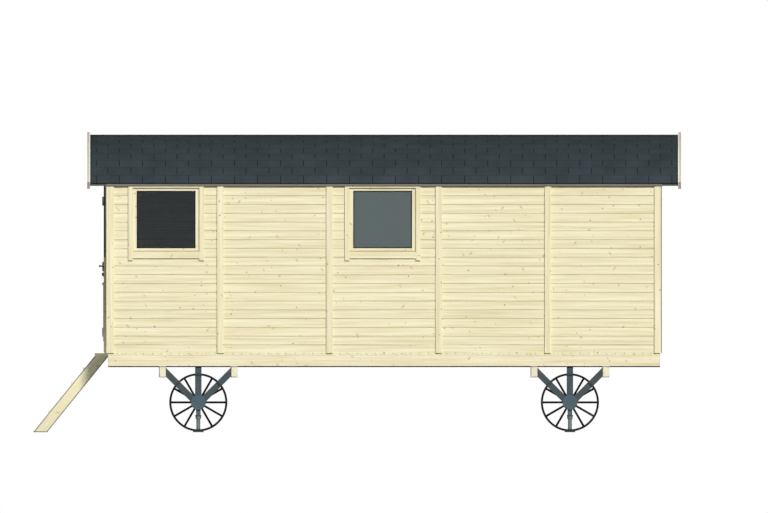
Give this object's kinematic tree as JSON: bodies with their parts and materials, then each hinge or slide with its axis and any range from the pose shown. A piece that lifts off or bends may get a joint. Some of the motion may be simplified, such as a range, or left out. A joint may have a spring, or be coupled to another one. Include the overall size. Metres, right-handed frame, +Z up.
{
  "type": "gypsy wagon",
  "caption": "Small timber cabin on fixed ornamental wheels and jack feet, with a barrel roof of bitumen shingles, glazed windows, a half-glazed end door and a stair.",
  "frame": {"origin": "on the ground, under the middle of the whole wagon with its stair", "axes": "+Z up, +X from the door end with the stair towards the plain rear end, -Y the side with two windows"},
  "size_m": [6.4796, 2.466, 3.001],
  "materials": {
    "spruce": "clear oiled planed spruce boards",
    "bitumen_shingle": "mineral-granule bitumen shingle, matte",
    "grey_steel": "hot-dip grey painted steel, satin",
    "galvanised_steel": "dull zinc",
    "clear_glass": "clear sealed double glazing",
    "black_iron": "black satin"
  },
  "bodies": {
    "wagon": {"cross_beams": "spruce", "door_frame": "spruce", "door_hinge_pins": "galvanised_steel", "end_joists": "spruce", "far_battens": "spruce", "far_wall": "spruce", "far_window_frames": "spruce", "far_window_glass": "clear_glass", "far_window_trims": "spruce", "floor": "spruce", "front_bargeboard": "spruce", "front_corner_boards": "spruce", "front_wall_far": "spruce", "front_wall_near": "spruce", "front_wall_over_door": "spruce", "inner_joists": "spruce", "jack_far_front": "galvanised_steel", "jack_far_rear": "galvanised_steel", "jack_near_front": "galvanised_steel", "jack_near_rear": "galvanised_steel", "leg_far_front": "grey_steel", "leg_far_rear": "grey_steel", "leg_near_front": "grey_steel", "leg_near_rear": "grey_steel", "near_battens": "spruce", "near_wall": "spruce", "near_window_frames": "spruce", "near_window_glass": "clear_glass", "near_window_trims": "spruce", "rear_bargeboard": "spruce", "rear_corner_boards": "spruce", "rear_wall": "spruce", "rim_joist_far": "spruce", "rim_joist_near": "spruce", "roof_deck": "spruce", "roof_ribs": "spruce", "roof_shingles": "bitumen_shingle", "stair_stringer_far": "spruce", "stair_stringer_near": "spruce", "stair_treads": "spruce", "wheel_far_front": "grey_steel", "wheel_far_rear": "grey_steel", "wheel_near_front": "grey_steel", "wheel_near_rear": "grey_steel"},
    "door": {"door_leaf": "spruce", "door_glass": "clear_glass", "door_lock_plates": "black_iron", "door_hinge_sleeves": "galvanised_steel"},
    "lever": {"door_lever": "black_iron"}
  },
  "joints": [
    {"name": "door_hinge", "type": "hinge", "parent": "wagon", "child": "door", "pos_m": [-2.5422, 0.429, 1.65], "axis": [0, 0, -1], "range_deg": [0, 110]},
    {"name": "lever_turn", "type": "hinge", "parent": "door", "child": "lever", "pos_m": [-2.5112, -0.365, 1.661], "axis": [-1, 0, 0], "range_deg": [0, 45], "stiffness_Nm_per_rad": 2.5, "springref_deg": -17.19}
  ]
}
